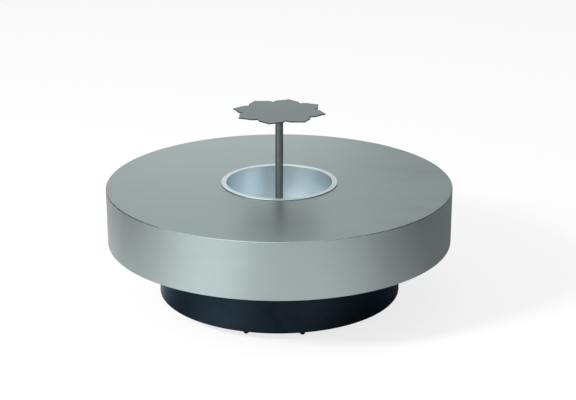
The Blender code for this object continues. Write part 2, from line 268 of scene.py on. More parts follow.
# %% [markdown]
# ## The surroundings
# Metal shows the room more than it shows itself. The camera sees plain white. Metal sees a room that is grey
# near the horizon and pale higher up, greyer at the back right, with dark sides, and two large soft panels:
# one at the front left, where the lamp is, and one overhead, which leans to the left. That gives a steel top
# and a steel band their slow shading. Soft light comes evenly from all round.

# %% World
soft_light_strength = 0.52
horizon_brightness = 0.45
horizon_height = 0.22
upper_brightness = 1.02
upper_height = 0.60
sides_darkness = 0.75
sides_start = 0.18
sides_full = 0.45
sides_limits = (("Y", -0.4, -0.1), ("Z", 0.12, 0.30))
far_side = (0.8, 0.6, 0.0)
far_start = 0.54
far_full = 0.64
far_share = 0.64
panels = (
    (Vector((-0.62, -0.53, 0.58)).normalized(), 0.86, 0.97, 1.4),
    (Vector((-0.44, -0.13, 0.89)).normalized(), 0.84, 0.95, 0.8),
)

world = bpy.data.worlds.new("studio")
bpy.context.scene.world = world
world.use_nodes = True
sky = world.node_tree
sky.nodes.clear()
direction = node(sky, "ShaderNodeTexCoord").outputs["Generated"]
parts = node(sky, "ShaderNodeSeparateXYZ", {"Vector": direction}).outputs
height_shade = ranged(sky, parts["Z"], horizon_height, upper_height, horizon_brightness, upper_brightness)
sides = ranged(sky, maths(sky, "ABSOLUTE", parts["X"]), sides_start, sides_full, 0.0, sides_darkness)
for axis, start, full in sides_limits:
    sides = maths(sky, "MULTIPLY", sides, ranged(sky, parts[axis], start, full, 0.0, 1.0))
sides_shade = maths(sky, "SUBTRACT", 1.0, sides)
along = vector_maths(sky, "DOT_PRODUCT", direction, far_side)
far_shade = ranged(sky, along, far_start, far_full, 1.0, far_share)
room = maths(sky, "MULTIPLY", height_shade, maths(sky, "MULTIPLY", sides_shade, far_shade))
room = with_patches(sky, room, direction, panels)
path = node(sky, "ShaderNodeLightPath").outputs
mirrored = maths(sky, "MAXIMUM", path["Is Glossy Ray"], path["Is Transmission Ray"])
room_light = mixed(sky, mirrored, colour(*[soft_light_strength] * 3), room)
seen = mixed(sky, path["Is Camera Ray"], room_light, colour(1.0, 1.0, 1.0))
background = node(sky, "ShaderNodeBackground", {"Color": seen, "Strength": 1.0})
node(sky, "ShaderNodeOutputWorld", {"Surface": background.outputs[0]})
print("room brightness", horizon_brightness, "at the horizon and", upper_brightness, "higher up")

# %% [markdown]
# ## The lamp
# One light at the front left, 34 degrees up, makes the faint shadow on the right. The shadow's edge in the
# picture is a hand's width wide, so the light is less than a metre across. Metal doesn't see the lamp itself:
# it sees the soft panel at the same place, which is wider and without hard spots.

# %% Lamp
key_place = (-3.1, -2.35, 2.8)
key_size = 0.8
key_power = 170.0

key_aim = (Vector((0.0, 0.0, table_top / 2)) - Vector(key_place)).to_track_quat("-Z", "Y").to_euler()
bpy.ops.object.light_add(type="AREA", location=key_place, rotation=key_aim)
lamp = bpy.context.object
lamp.name = "key_softbox"
lamp.data.shape = "SQUARE"
lamp.data.size = key_size
lamp.data.energy = key_power
lamp.visible_glossy = False
print(f"{lamp.name}: {key_power} W over {key_size} m")

# %% [markdown]
# ## A white card behind the table
# In the photograph the top is palest at the back and grows darker towards the camera. A room far away can't
# do that, because every part of a flat top mirrors the same height of it. Something close by can: a
# photographer's white card, which only the far part of the top mirrors. It has a soft outline, and only metal
# sees it.

# %% White card
card_place = (-0.28, 1.35, 0.58)
card_size = (2.0, 0.66, 1.0)
card_light = 0.91
card_core = 0.15
card_edge = 0.5

bpy.ops.mesh.primitive_plane_add(size=1.0, location=card_place, rotation=(math.pi / 2, 0.0, 0.0))
card = bpy.context.object
card.name = "white_card"
card.scale = card_size
card_material, tree = empty_material("white_card")
spread = vector_maths(tree, "LENGTH", node(tree, "ShaderNodeTexCoord").outputs["Object"])
opaque = ranged(tree, spread, card_core, card_edge, 1.0, 0.0)
clear = node(tree, "ShaderNodeBsdfTransparent")
light = node(tree, "ShaderNodeEmission", {"Strength": card_light})
soft = node(tree, "ShaderNodeMixShader", {0: opaque, 1: clear.outputs[0], 2: light.outputs[0]})
node(tree, "ShaderNodeOutputMaterial", {"Surface": soft.outputs[0]})
card.data.materials.append(card_material)
card.visible_camera = False
card.visible_diffuse = False
card.visible_transmission = False
card.visible_shadow = False
print("white card at", card_place)

# %% [markdown]
# ## Working in Edit Mode without a window
# The same operators that a modeller presses with the mouse run from a script, as long as the right piece is
# active and the right points are selected. These helpers clear the selection, enter and leave Edit Mode, and
# select points, edges or faces by a test.

# %% Selection helpers
def deselect_all():
    """Object Mode, with nothing selected."""
    if bpy.context.object and bpy.context.object.mode != "OBJECT":
        bpy.ops.object.mode_set(mode="OBJECT")
    bpy.ops.object.select_all(action="DESELECT")


def make_active(piece):
    """Selects one piece alone."""
    deselect_all()
    bpy.context.view_layer.objects.active = piece
    piece.select_set(True)


def edit(piece):
    """Enters Edit Mode on one piece."""
    make_active(piece)
    bpy.ops.object.mode_set(mode="EDIT")


def pick(piece, kind, wanted):
    """Selects the points (VERT), edges (EDGE) or faces (FACE) of a piece in Edit Mode that pass a test."""
    bpy.ops.mesh.select_mode(type=kind)
    bpy.ops.mesh.select_all(action="DESELECT")
    shape = bmesh.from_edit_mesh(piece.data)
    for part in {"VERT": shape.verts, "EDGE": shape.edges, "FACE": shape.faces}[kind]:
        part.select = bool(wanted(part))
    shape.select_flush_mode()
    bmesh.update_edit_mesh(piece.data)


print("selection helpers ready")

# %% [markdown]
# ## Turning a piece on a lathe
# A ring, a bowl or a foot could be built from cylinders, but its edges would need work at every size. A lathe
# is nearer to how they are really made. A plane is merged to one point, the point is extruded along half the
# cross-section, the corners are rounded with a vertex bevel, and the line is spun about the table's axis.

# %% Lathe helpers
merge_distance = 0.000001
corner_match = 0.00001
start_size = 0.01
fine_turns = 288
middle_turns = 96
small_turns = 48
crease_angle = math.radians(32)


def draw_line(name, points):
    """One point, extruded along a list of (radius, height) points."""
    deselect_all()
    bpy.ops.mesh.primitive_plane_add(size=start_size, location=(0.0, 0.0, 0.0))
    piece = bpy.context.object
    piece.name = name
    piece.data.name = name
    bpy.ops.object.mode_set(mode="EDIT")
    bpy.ops.mesh.select_mode(type="VERT")
    bpy.ops.mesh.select_all(action="SELECT")
    bpy.ops.mesh.merge(type="CENTER")
    corners = [Vector((radius, 0.0, height)) for radius, height in points]
    bpy.ops.transform.translate(value=corners[0])
    for start, end in zip(corners, corners[1:]):
        bpy.ops.mesh.extrude_region_move(TRANSFORM_OT_translate={"value": end - start})
    return piece


def near(vertex, corner):
    """Whether a point lies on a (radius, height) corner of a cross-section."""
    return math.hypot(vertex.co.x - corner[0], vertex.co.z - corner[1]) < corner_match


def round_corner(piece, corner, radius, steps):
    """Rounds one corner of a cross-section with a vertex bevel."""
    pick(piece, "VERT", lambda vertex: near(vertex, corner))
    bpy.ops.mesh.bevel(offset=radius, offset_type="OFFSET", segments=steps, affect="VERTICES")


def tidy_surface():
    """Merges doubles and turns all faces outwards, on the piece in Edit Mode."""
    bpy.ops.mesh.select_all(action="SELECT")
    bpy.ops.mesh.remove_doubles(threshold=merge_distance)
    bpy.ops.mesh.normals_make_consistent(inside=False)


def finish_shape(piece):
    """Leaves Edit Mode and shades the round faces smooth."""
    bpy.ops.object.mode_set(mode="OBJECT")
    make_active(piece)
    bpy.ops.object.shade_smooth_by_angle(angle=crease_angle)
    return piece


def turn(name, points, rounds=(), turns=fine_turns):
    """A cross-section of (radius, height) points, turned about the table's axis.

    rounds lists (index of a point, radius, steps). A section that doesn't end on the axis is closed first."""
    piece = draw_line(name, points)
    if points[0][0] > 0 or points[-1][0] > 0:
        pick(piece, "VERT", lambda vertex: near(vertex, points[0]) or near(vertex, points[-1]))
        bpy.ops.mesh.edge_face_add()
    for index, radius, steps in rounds:
        round_corner(piece, points[index], radius, steps)
    bpy.ops.mesh.select_all(action="SELECT")
    bpy.ops.mesh.spin(steps=turns, angle=math.tau, center=(0.0, 0.0, 0.0), axis=(0.0, 0.0, 1.0))
    tidy_surface()
    return finish_shape(piece)


def stepped_section(levels, radii, inner=0.0):
    """A cross-section with one outer radius between each two levels, round a bore or closed on the axis."""
    outline = [(inner, levels[0])]
    for radius, low, high in zip(radii, levels, levels[1:]):
        outline += [(radius, low), (radius, high)]
    return outline + [(inner, levels[-1])]


def ring_section(inner, outer, bottom, top):
    """The four corners of a flat ring or a hoop."""
    return stepped_section((bottom, top), (outer,), inner)


def stepped_piece(name, bore=0.0):
    """The cross-section of a frame piece with three levels, and so with one step on its outside."""
    levels = levels_of(name)
    return stepped_section(levels, [radii_at(name, level)[1] for level in (levels[0], levels[-1])], bore)


print("lathe helpers ready")

# %% [markdown]
# ## Cutting, copying and settling a piece
# Holes are cut with a Boolean modifier that is applied at once. A repeated piece is modelled once, and each
# copy gets a mesh of its own, moved in the mesh so that the object stays at the origin. A finished piece is
# settled: its normals are weighted by the size of the faces, so that a flat sheet stays flat right up to a
# rounded edge and doesn't look dished. Then it gets its finish, it rides on the body that carries it, and it
# stands for the frame pieces under it.

# %% Cut, copy, settle
def cut(piece, cutter):
    """Cuts one piece with another, which is used up."""
    drill = piece.modifiers.new("cut", "BOOLEAN")
    drill.operation = "DIFFERENCE"
    drill.solver = "EXACT"
    drill.object = cutter
    make_active(piece)
    bpy.ops.object.modifier_apply(modifier="cut")
    bpy.data.objects.remove(cutter, do_unlink=True)
    return finish_shape(piece)


def settle(piece, body, slot, material, *nodes):
    """Gives a piece its finish and its body, and hides the frame pieces it stands for."""
    make_active(piece)
    even = piece.modifiers.new("even_normals", "WEIGHTED_NORMAL")
    even.keep_sharp = True
    bpy.ops.object.modifier_apply(modifier="even_normals")
    deselect_all()
    piece.data.materials.clear()
    piece.data.materials.append(material)
    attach(piece, body)
    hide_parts(*nodes)
    print(f"{piece.name}: {len(piece.data.polygons)} faces on {body}")
    return piece


def settle_copies(pattern, prefix, names, body, slot, material, turned=False):
    """Copies a pattern, made at the origin, to the place of each frame piece, and removes the pattern.

    Each copy has its own mesh. A turned copy looks away from the table's axis."""
    for name in names:
        place = middle_of(name)
        angle = math.atan2(place.y, place.x) if turned else 0.0
        copy = pattern.copy()
        copy.data = pattern.data.copy()
        copy.name = prefix + name
        copy.data.name = prefix + name
        copy.data.transform(Matrix.Translation((place.x, place.y, 0.0)) @ Matrix.Rotation(angle, 4, "Z"))
        bpy.context.collection.objects.link(copy)
        settle(copy, body, slot, material, name)
    bpy.data.objects.remove(pattern, do_unlink=True)


print("cutting and settling ready")

# %% [markdown]
# ## Marks that several finishes share
# Steel, boards, lacquer and rubber differ, but some marks turn up on many of them: long brush lines, fine
# turned rings, chips of pressed wood, tiny grains and the smudges left by hands. Each of these is one node
# group, with inputs for its scale. A group puts out plain values, and each material decides what they do.

# %% A way to make groups
def new_group(name, outputs, **inputs):
    """A node group with named sockets. Returns the group, what goes into it and what comes out."""
    group = bpy.data.node_groups.new(name, "ShaderNodeTree")
    for label, value in inputs.items():
        kind = "NodeSocketFloat" if isinstance(value, float) else "NodeSocketVector"
        socket = group.interface.new_socket(name=label, in_out="INPUT", socket_type=kind)
        if value is not None:
            socket.default_value = value
    for label in outputs:
        group.interface.new_socket(name=label, in_out="OUTPUT", socket_type="NodeSocketFloat")
    return group, group.nodes.new("NodeGroupInput").outputs, group.nodes.new("NodeGroupOutput").inputs


def put_out(group, results, **values):
    """Links values to the outputs of a group."""
    for label, value in values.items():
        group.links.new(value, results[label])
    print(f"{group.name} puts out", ", ".join(values))


def noise_at(tree, vector, stretch, detail, distortion=0.0):
    """Noise on coordinates that are stretched by a vector."""
    stretched = vector_maths(tree, "MULTIPLY", vector, stretch)
    inputs = {"Vector": stretched, "Scale": 1.0, "Detail": detail, "Distortion": distortion}
    return node(tree, "ShaderNodeTexNoise", inputs).outputs["Fac"]


def from_axis(tree, vector):
    """The distance of a place from the upright axis, and its height."""
    parts = node(tree, "ShaderNodeSeparateXYZ", {"Vector": vector}).outputs
    flat = node(tree, "ShaderNodeCombineXYZ", {"X": parts["X"], "Y": parts["Y"]}).outputs[0]
    return vector_maths(tree, "LENGTH", flat), parts["Z"]


print("group helpers ready")

# %% [markdown]
# ### Brush lines
# A belt leaves hairlines a fraction of a millimetre apart, longer streaks where it pressed harder, and soft
# clouds where the sheet was handled. All three are noise stretched along one direction, at three scales.
# Noise read from stretched object coordinates also works on a curved band, with no join.

# %% Brush lines group
brush_lines, given, results = new_group(
    "brush_lines",
    ("Hairline", "Streak", "Cloud"),
    Vector=None,
    Hairlines=(30.0, 2600.0, 1.0),
    Streaks=(5.0, 260.0, 1.0),
    Clouds=(4.0, 9.0, 1.0),
)
put_out(
    brush_lines,
    results,
    Hairline=noise_at(brush_lines, given["Vector"], given["Hairlines"], 2.0),
    Streak=noise_at(brush_lines, given["Vector"], given["Streaks"], 4.0),
    Cloud=noise_at(brush_lines, given["Vector"], given["Clouds"], 3.0, 0.6),
)

# %% [markdown]
# ### Turned rings
# A spun bowl and a turned post carry rings round their axis. The distance from the axis and the height are
# enough to find them: noise on those two numbers is the same all the way round. A trace of the plain
# coordinates is added, so that no ring is perfectly even.

# %% Turned rings group
turned_rings, given, results = new_group("turned_rings", ("Ring", "Drift"), Vector=None, Rings=900.0)
reach, height = from_axis(turned_rings, given["Vector"])
drift = noise_at(turned_rings, given["Vector"], (14.0, 14.0, 14.0), 2.0)
across = maths(turned_rings, "MULTIPLY", reach, given["Rings"])
upwards = maths(turned_rings, "MULTIPLY", height, given["Rings"])
place = node(turned_rings, "ShaderNodeCombineXYZ", {"X": across, "Y": upwards, "Z": drift}).outputs[0]
ring = node(turned_rings, "ShaderNodeTexNoise", {"Vector": place, "Scale": 1.0, "Detail": 2.0}).outputs["Fac"]
put_out(turned_rings, results, Ring=ring, Drift=drift)

# %% [markdown]
# ### Fine grain and handling
# Lacquer has a faint orange peel, rubber and nylon have tiny pits, and every surface at hand height has been
# touched. Grain is plain noise at two scales. Handling is a few large soft patches, which only dull or polish
# a surface and never colour it much.

# %% Grain and handling groups
fine_grain, given, results = new_group("fine_grain", ("Grain", "Patch"), Vector=None, Size=900.0)
inputs = {"Vector": given["Vector"], "Scale": given["Size"], "Detail": 3.0}
grain = node(fine_grain, "ShaderNodeTexNoise", inputs).outputs["Fac"]
inputs = {"Vector": given["Vector"], "Scale": 11.0, "Detail": 3.0, "Distortion": 0.8}
patch = node(fine_grain, "ShaderNodeTexNoise", inputs).outputs["Fac"]
put_out(fine_grain, results, Grain=grain, Patch=patch)

handling, given, results = new_group("handling", ("Smudge",), Vector=None, Size=6.0)
inputs = {"Vector": given["Vector"], "Scale": given["Size"], "Detail": 5.0,
          "Roughness": 0.62, "Distortion": 1.1}
patch = node(handling, "ShaderNodeTexNoise", inputs).outputs["Fac"]
put_out(handling, results, Smudge=ranged(handling, patch, 0.50, 0.72, 0.0, 1.0))

# %% [markdown]
# ### Worn rims
# Edges are touched most, and a belt cuts them a little brighter. On round pieces an edge is a circle, so the
# distance from the axis tells how near a point is to it, and no costly edge search is needed.

# %% Worn rim group
worn_rim, given, results = new_group("worn_rim", ("Rim",), Vector=None, Radius=0.5, Width=0.002)
gap = maths(worn_rim, "SUBTRACT", from_axis(worn_rim, given["Vector"])[0], given["Radius"])
share = maths(worn_rim, "DIVIDE", maths(worn_rim, "ABSOLUTE", gap), given["Width"])
closeness = maths(worn_rim, "SUBTRACT", 1.0, share, clamp=True)
patchy = ranged(worn_rim, noise_at(worn_rim, given["Vector"], (40.0, 40.0, 40.0), 3.0), 0.35, 0.6, 0.35, 1.0)
put_out(worn_rim, results, Rim=maths(worn_rim, "MULTIPLY", closeness, patchy))

# %% [markdown]
# ### Chips in pressed board
# Pressed board is a mat of wood chips. Stretched cells give the chips, each with a tone of its own, and a
# fine noise gives the dust between them. The same chips show through black paint as a faint unevenness.

# %% Pressed chips group
chip_sway = (0.012, 0.012, 0.012)

pressed_chips, given, results = new_group(
    "pressed_chips", ("Chip", "Dust"), Vector=None, Chips=(260.0, 420.0, 420.0)
)
bent = node(pressed_chips, "ShaderNodeTexNoise", {"Vector": given["Vector"], "Scale": 60.0}).outputs["Color"]
swayed = vector_maths(pressed_chips, "MULTIPLY_ADD", bent, chip_sway, given["Vector"])
stretched = vector_maths(pressed_chips, "MULTIPLY", swayed, given["Chips"])
cells = node(pressed_chips, "ShaderNodeTexVoronoi", {"Vector": stretched, "Scale": 1.0})
tone = node(pressed_chips, "ShaderNodeSeparateColor", {"Color": cells.outputs["Color"]}).outputs[0]
put_out(pressed_chips, results, Chip=tone, Dust=noise_at(pressed_chips, given["Vector"], (900.0,) * 3, 2.0))

# %% [markdown]
# ## A start for every material
# Each finish begins the same way: a Principled shader with its plain numbers set on its own sockets, and the
# object coordinates that all patterns read. The object coordinates stay with a piece when it moves, so a
# brush line stays where it was brushed. Most finishes then send a tone, a gloss and a height to the shader.

# %% Material starter
def new_material(name, **numbers):
    """A material with a Principled shader. Returns the material, its tree, the shader and the coordinates."""
    material, tree = empty_material(name + "_finish")
    shader = node(tree, "ShaderNodeBsdfPrincipled")
    for label, value in numbers.items():
        shader.inputs[label.replace("_", " ")].default_value = value
    node(tree, "ShaderNodeOutputMaterial", {"Surface": shader.outputs[0]})
    return material, tree, shader, node(tree, "ShaderNodeTexCoord").outputs["Object"]


def use(tree, group, **inputs):
    """A shared group placed in a material, with that material's own values."""
    return node(tree, "ShaderNodeGroup", inputs, node_tree=group).outputs


def surfaced(tree, shader, tone, tones, gloss, roughness):
    """Sends a tone between two colours, and a gloss moved to a range of roughness, to the shader."""
    tree.links.new(mixed(tree, tone, colour(*tones[0]), colour(*tones[1])), shader.inputs["Base Color"])
    tree.links.new(ranged(tree, gloss, *roughness), shader.inputs["Roughness"])


def gloss_where(tree, shader, mask, roughness):
    """Moves the shader's roughness to another one where a mask is full."""
    gloss = shader.inputs["Roughness"].links[0].from_socket
    difference = maths(tree, "SUBTRACT", roughness, gloss)
    tree.links.new(maths(tree, "MULTIPLY_ADD", difference, mask, gloss), shader.inputs["Roughness"])


def roughened(tree, shader, height, strength, distance):
    """Sends a height through a Bump node to the shader's normal."""
    bump = node(tree, "ShaderNodeBump", {"Height": height, "Strength": strength, "Distance": distance})
    tree.links.new(bump.outputs[0], shader.inputs["Normal"])


def straight_tangent(tree, shader, direction):
    """Points the shader's tangent along one direction of the piece itself."""
    along = node(tree, "ShaderNodeCombineXYZ", dict(zip("XYZ", direction)))
    choices = {"vector_type": "VECTOR", "convert_from": "OBJECT", "convert_to": "WORLD"}
    turned_along = node(tree, "ShaderNodeVectorTransform", {"Vector": along.outputs[0]}, **choices)
    tree.links.new(turned_along.outputs[0], shader.inputs["Tangent"])


def radial_tangent(tree, shader):
    """Points the shader's tangent round the upright axis."""
    around = node(tree, "ShaderNodeTangent", direction_type="RADIAL", axis="Z")
    tree.links.new(around.outputs[0], shader.inputs["Tangent"])


print("material starter ready")

# %% [markdown]
# ### Brushed steel
# Four finishes are brushed steel, and only their numbers are unlike. Hairlines, streaks and clouds are
# weighed against each other for the tone, clouds and smudges set the gloss, and the hairlines alone are felt
# as a bump. Where a piece has a burnished rim, its roughness drops there.

# %% Brushed finish
hairline_share = 0.24
streak_share = 0.34
cloud_share = 1.0 - hairline_share - streak_share
tone_range = (0.34, 0.66)
smudge_size = 7.0
smudge_share = 0.25
gloss_range = (0.3, 0.9)
rim_gloss = 0.18
brush_bump = (0.10, 0.0003)


def brushed(name, tones, roughness, hairlines, streaks, clouds, rim=(0.0, 0.002), **numbers):
    """Brushed steel: tone and gloss follow the brush lines, and the rim at one radius is burnished."""
    material, tree, shader, place = new_material(name, Metallic=1.0, **numbers)
    marks = use(tree, brush_lines, Vector=place, Hairlines=hairlines, Streaks=streaks, Clouds=clouds)
    total = maths(tree, "MULTIPLY", marks["Cloud"], cloud_share)
    total = maths(tree, "MULTIPLY_ADD", marks["Streak"], streak_share, total)
    total = maths(tree, "MULTIPLY_ADD", marks["Hairline"], hairline_share, total)
    tone = ranged(tree, total, *tone_range, 0.0, 1.0)
    smudge = use(tree, handling, Vector=place, Size=smudge_size)["Smudge"]
    dulled = maths(tree, "MULTIPLY_ADD", smudge, smudge_share, marks["Cloud"])
    surfaced(tree, shader, tone, tones, dulled, (*gloss_range, *roughness))
    worn = use(tree, worn_rim, Vector=place, Radius=rim[0], Width=rim[1])["Rim"]
    gloss_where(tree, shader, worn, rim_gloss)
    roughened(tree, shader, marks["Hairline"], *brush_bump)
    return material, tree, shader


print("brushed finish ready")

# %% [markdown]
# ## The steel top
# The top is a sheet of 2 mm steel with a hole for the bowl and a shallow seat round the hole, where the
# bowl's rubber ring lies. It is turned on the lathe from six corners, and the outer edge is broken at 45
# degrees and burnished: that narrow slope mirrors the dark sides of the room and the panel overhead, which
# draws the fine line between top and band. The finish is brushed straight from left to right. Brushing blurs
# reflections across the lines, so the shader's tangent points front to back.

# %% Steel top
flange_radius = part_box("ice_bowl")[1].x
top_points = points_of("top_skin")
seat_radius = min(point.to_2d().length for point in top_points if point.z > table_top - point_match)
seat_level = max(point.z for point in top_points if point.to_2d().length < well_radius + point_match)
edge_break = 0.0018
seat_round = 0.0002

top_finish, tree, shader = brushed(
    "straight_brushed_steel",
    tones=((0.368, 0.445, 0.447), (0.396, 0.473, 0.475)),
    roughness=(0.34, 0.38),
    hairlines=(30.0, 2600.0, 1.0),
    streaks=(3.5, 48.0, 1.0),
    clouds=(3.2, 11.0, 1.0),
    rim=(table_radius, 0.004),
    Anisotropic=0.3,
)
straight_tangent(tree, shader, (0.0, 1.0, 0.0))

top_section = [
    (well_radius, top_low),
    (table_radius, top_low),
    (table_radius, table_top),
    (seat_radius, table_top),
    (seat_radius, seat_level),
    (well_radius, seat_level),
]
top_sheet = turn("top_sheet", top_section, rounds=[(2, edge_break, 1), (3, seat_round, 2)])
settle(top_sheet, "table", "brushed_steel", top_finish, "top_skin")

# %% [markdown]
# ## The steel band
# A strip of thin steel goes round the drum, with its two ends meeting at the back. It is turned as a hoop,
# then a narrow strip of its outside is bisected free at the back and pushed in to make the joint. The brush
# lines run round the band, so its reflections are blurred upwards and downwards. A radial tangent lies along
# the band, and a quarter turn of the anisotropy stands it upright.

# %% Steel band
band_inner, band_outer, band_low, band_high = round_sizes("side_skin")
band_round = 0.0006
joint_width = 0.0005
joint_depth = 0.0005
joint_reach = 0.03
back_share = 0.9


def press_joint(piece, radius, width, depth):
    """Presses an upright joint into the outside of a hoop, at its back."""
    def at_back(face):
        middle = face.calc_center_median()
        return middle.y > radius * back_share and abs(middle.x) < joint_reach

    def in_joint(face):
        return face.normal.y > back_share and abs(face.calc_center_median().x) < width / 2

    edit(piece)
    for side in (-width / 2, width / 2):
        pick(piece, "FACE", at_back)
        bpy.ops.mesh.bisect(plane_co=(side, 0.0, 0.0), plane_no=(1.0, 0.0, 0.0))
    pick(piece, "FACE", in_joint)
    bpy.ops.mesh.extrude_region_move(TRANSFORM_OT_translate={"value": (0.0, -depth, 0.0)})
    tidy_surface()
    finish_shape(piece)


band_finish, tree, shader = brushed(
    "round_brushed_steel",
    tones=((0.369, 0.430, 0.432), (0.401, 0.462, 0.464)),
    roughness=(0.42, 0.48),
    hairlines=(24.0, 24.0, 2600.0),
    streaks=(5.0, 5.0, 230.0),
    clouds=(7.0, 7.0, 3.0),
    Anisotropic=0.65,
    Anisotropic_Rotation=0.25,
)
radial_tangent(tree, shader)

band_section = ring_section(band_inner, band_outer, band_low, band_high)
side_band = turn("side_band", band_section, rounds=[(2, band_round, 3), (1, band_round, 3)])
press_joint(side_band, band_outer, joint_width, joint_depth)
settle(side_band, "table", "brushed_steel", band_finish, "side_skin")

# %% [markdown]
# ## Boards inside the drum
# The drum is a light box of boards. Its top panel and its ribs are pressed board, its hoops are bent plywood,
# and whatever can be seen from below is painted black. Only the edge of the panel and the lining of the well
# come into sight, when the bowl is lifted out, so those two are turned smooth. The rest keeps its frame shape
# and gets a finish of its own.

# %% Board finishes
chip_size = (180.0, 300.0, 300.0)

pressed_board, tree, shader, place = new_material("pressed_board", Specular_IOR_Level=0.3)
chips = use(tree, pressed_chips, Vector=place, Chips=chip_size)
tone = ranged(tree, maths(tree, "MULTIPLY_ADD", chips["Chip"], 0.75, chips["Dust"]), 0.35, 1.15, 0.0, 1.0)
browns = ((0.24, 0.145, 0.075), (0.47, 0.33, 0.195))
surfaced(tree, shader, tone, browns, chips["Dust"], (0.3, 0.7, 0.72, 0.9))
roughened(tree, shader, chips["Chip"], 0.25, 0.0006)

bent_board, tree, shader, place = new_material("bent_board", Specular_IOR_Level=0.35)
grain = noise_at(tree, place, (14.0, 14.0, 620.0), 4.0, 0.4)
bands = noise_at(tree, place, (2.0, 2.0, 55.0), 2.0)
tone = ranged(tree, maths(tree, "ADD", grain, bands), 0.75, 1.25, 0.0, 1.0)
surfaced(tree, shader, tone, ((0.36, 0.245, 0.135), (0.56, 0.42, 0.26)), grain, (0.3, 0.7, 0.55, 0.75))
roughened(tree, shader, grain, 0.2, 0.0004)

black_board, tree, shader, place = new_material("black_board", Specular_IOR_Level=0.3)
chips = use(tree, pressed_chips, Vector=place, Chips=chip_size)
specks = use(tree, fine_grain, Vector=place, Size=1400.0)
tone = ranged(tree, specks["Patch"], 0.35, 0.65, 0.0, 1.0)
blacks = ((0.013, 0.013, 0.015), (0.024, 0.024, 0.026))
surfaced(tree, shader, tone, blacks, specks["Grain"], (0.3, 0.7, 0.48, 0.66))
roughened(tree, shader, chips["Chip"], 0.12, 0.0004)


def dress(material, *names):
    """Gives frame pieces that keep their shape a finish."""
    for name in names:
        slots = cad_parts[name].data.materials
        slots.clear()
        slots.append(material)
    print(material.name, "on", ", ".join(names))


dress(pressed_board, *names_of("drum_rib_"))
dress(bent_board, "side_hoop")
dress(black_board, "drum_bottom_board", "plinth_top_board")

# %% Panel and well lining
panel_section = ring_section(*round_sizes("top_board"))
top_panel = turn("top_panel", panel_section, rounds=[(0, 0.0008, 2), (3, 0.0005, 2)])
settle(top_panel, "table", "pressed_board", pressed_board, "top_board")

lining_section = ring_section(*round_sizes("well_hoop"))
well_lining = turn("well_lining", lining_section, rounds=[(0, 0.0004, 2), (3, 0.0004, 2)])
settle(well_lining, "table", "bent_board", bent_board, "well_hoop")

# %% [markdown]
# ## The dark plinth
# The plinth is a bent hoop under a satin lacquer, blue-black and set well back, so that the drum seems to
# float. The lacquer holds fine metal flakes, so whatever it mirrors takes on its blue-black colour. A clear
# lacquer would turn white at both ends of the hoop, where the floor is mirrored at a low angle. The specular
# tint keeps that part blue as well. A faint orange peel and a few dull patches make it paint. Its joint is at
# the back, as the band's is.

# %% Plinth
plinth_joint_width = 0.0006
plinth_joint_depth = 0.0004

plinth_lacquer, tree, shader, place = new_material(
    "plinth_lacquer", Metallic=1.0, Specular_Tint=colour(0.55, 0.62, 0.70)
)
specks = use(tree, fine_grain, Vector=place, Size=700.0)
smudge = use(tree, handling, Vector=place, Size=9.0)["Smudge"]
tone = ranged(tree, specks["Patch"], 0.35, 0.65, 0.0, 1.0)
blues = ((0.0100, 0.0165, 0.0235), (0.0125, 0.0200, 0.0280))
surfaced(tree, shader, tone, blues, smudge, (0.0, 1.0, 0.36, 0.46))
roughened(tree, shader, specks["Grain"], 0.05, 0.0006)

plinth_inner, plinth_outer, plinth_low, plinth_high = round_sizes("plinth_hoop")
plinth_section = ring_section(plinth_inner, plinth_outer, plinth_low, plinth_high)
plinth_shell = turn("plinth_shell", plinth_section, rounds=[(1, 0.0012, 4), (0, 0.0008, 2), (2, 0.0006, 2)])
press_joint(plinth_shell, plinth_outer, plinth_joint_width, plinth_joint_depth)
settle(plinth_shell, "table", "plinth_lacquer", plinth_lacquer, "plinth_hoop")

# %% [markdown]
# ## The ring that carries the feet
# A ring of black board closes the plinth's lower edge, with twelve holes for the stems of the feet. The ring
# is turned, and the holes are drilled with one cutter made of twelve joined pins. Their places come from the
# feet of the frame.

# %% Foot ring
hole_clearance = 0.0003
cutter_overrun = 0.002
foot_names = names_of("foot_")
foot_levels = levels_of(foot_names[0])
foot_tip_radius = radii_at(foot_names[0], foot_levels[1])[1]
foot_top_radius = radii_at(foot_names[0], plinth_low)[1]
stem_top = foot_levels[-1]
stem_radius = radii_at(foot_names[0], stem_top)[1]


def pins(places, radius, low, high, sides=small_turns):
    """Upright pins at several places, joined into one cutter."""
    made = []
    for place in places:
        deselect_all()
        centre = (place.x, place.y, (low + high) / 2)
        bpy.ops.mesh.primitive_cylinder_add(vertices=sides, radius=radius, depth=high - low, location=centre)
        made.append(bpy.context.object)
    make_active(made[0])
    for pin in made:
        pin.select_set(True)
    if len(made) > 1:
        bpy.ops.object.join()
    return bpy.context.object


ring_inner, ring_outer, ring_low, ring_high = round_sizes("foot_ring")
ring_outline = ring_section(ring_inner, ring_outer, ring_low, ring_high)
foot_board = turn("foot_board", ring_outline, rounds=[(0, 0.0008, 2), (3, 0.0008, 2)])
foot_places = [middle_of(name) for name in foot_names]
stem_hole = stem_radius + hole_clearance
cut(foot_board, pins(foot_places, stem_hole, ring_low - cutter_overrun, ring_high + cutter_overrun))
settle(foot_board, "table", "black_board", black_board, "foot_ring")

# %% [markdown]
# ## Rubber feet
# Each foot is a moulded cone with a rounded tip, a soft shoulder and a stem that is pushed into the ring. One
# is turned, and eleven more are copied from it. Rubber is matt and takes dust, so its finish is dark grey
# with a fine grain and paler patches.

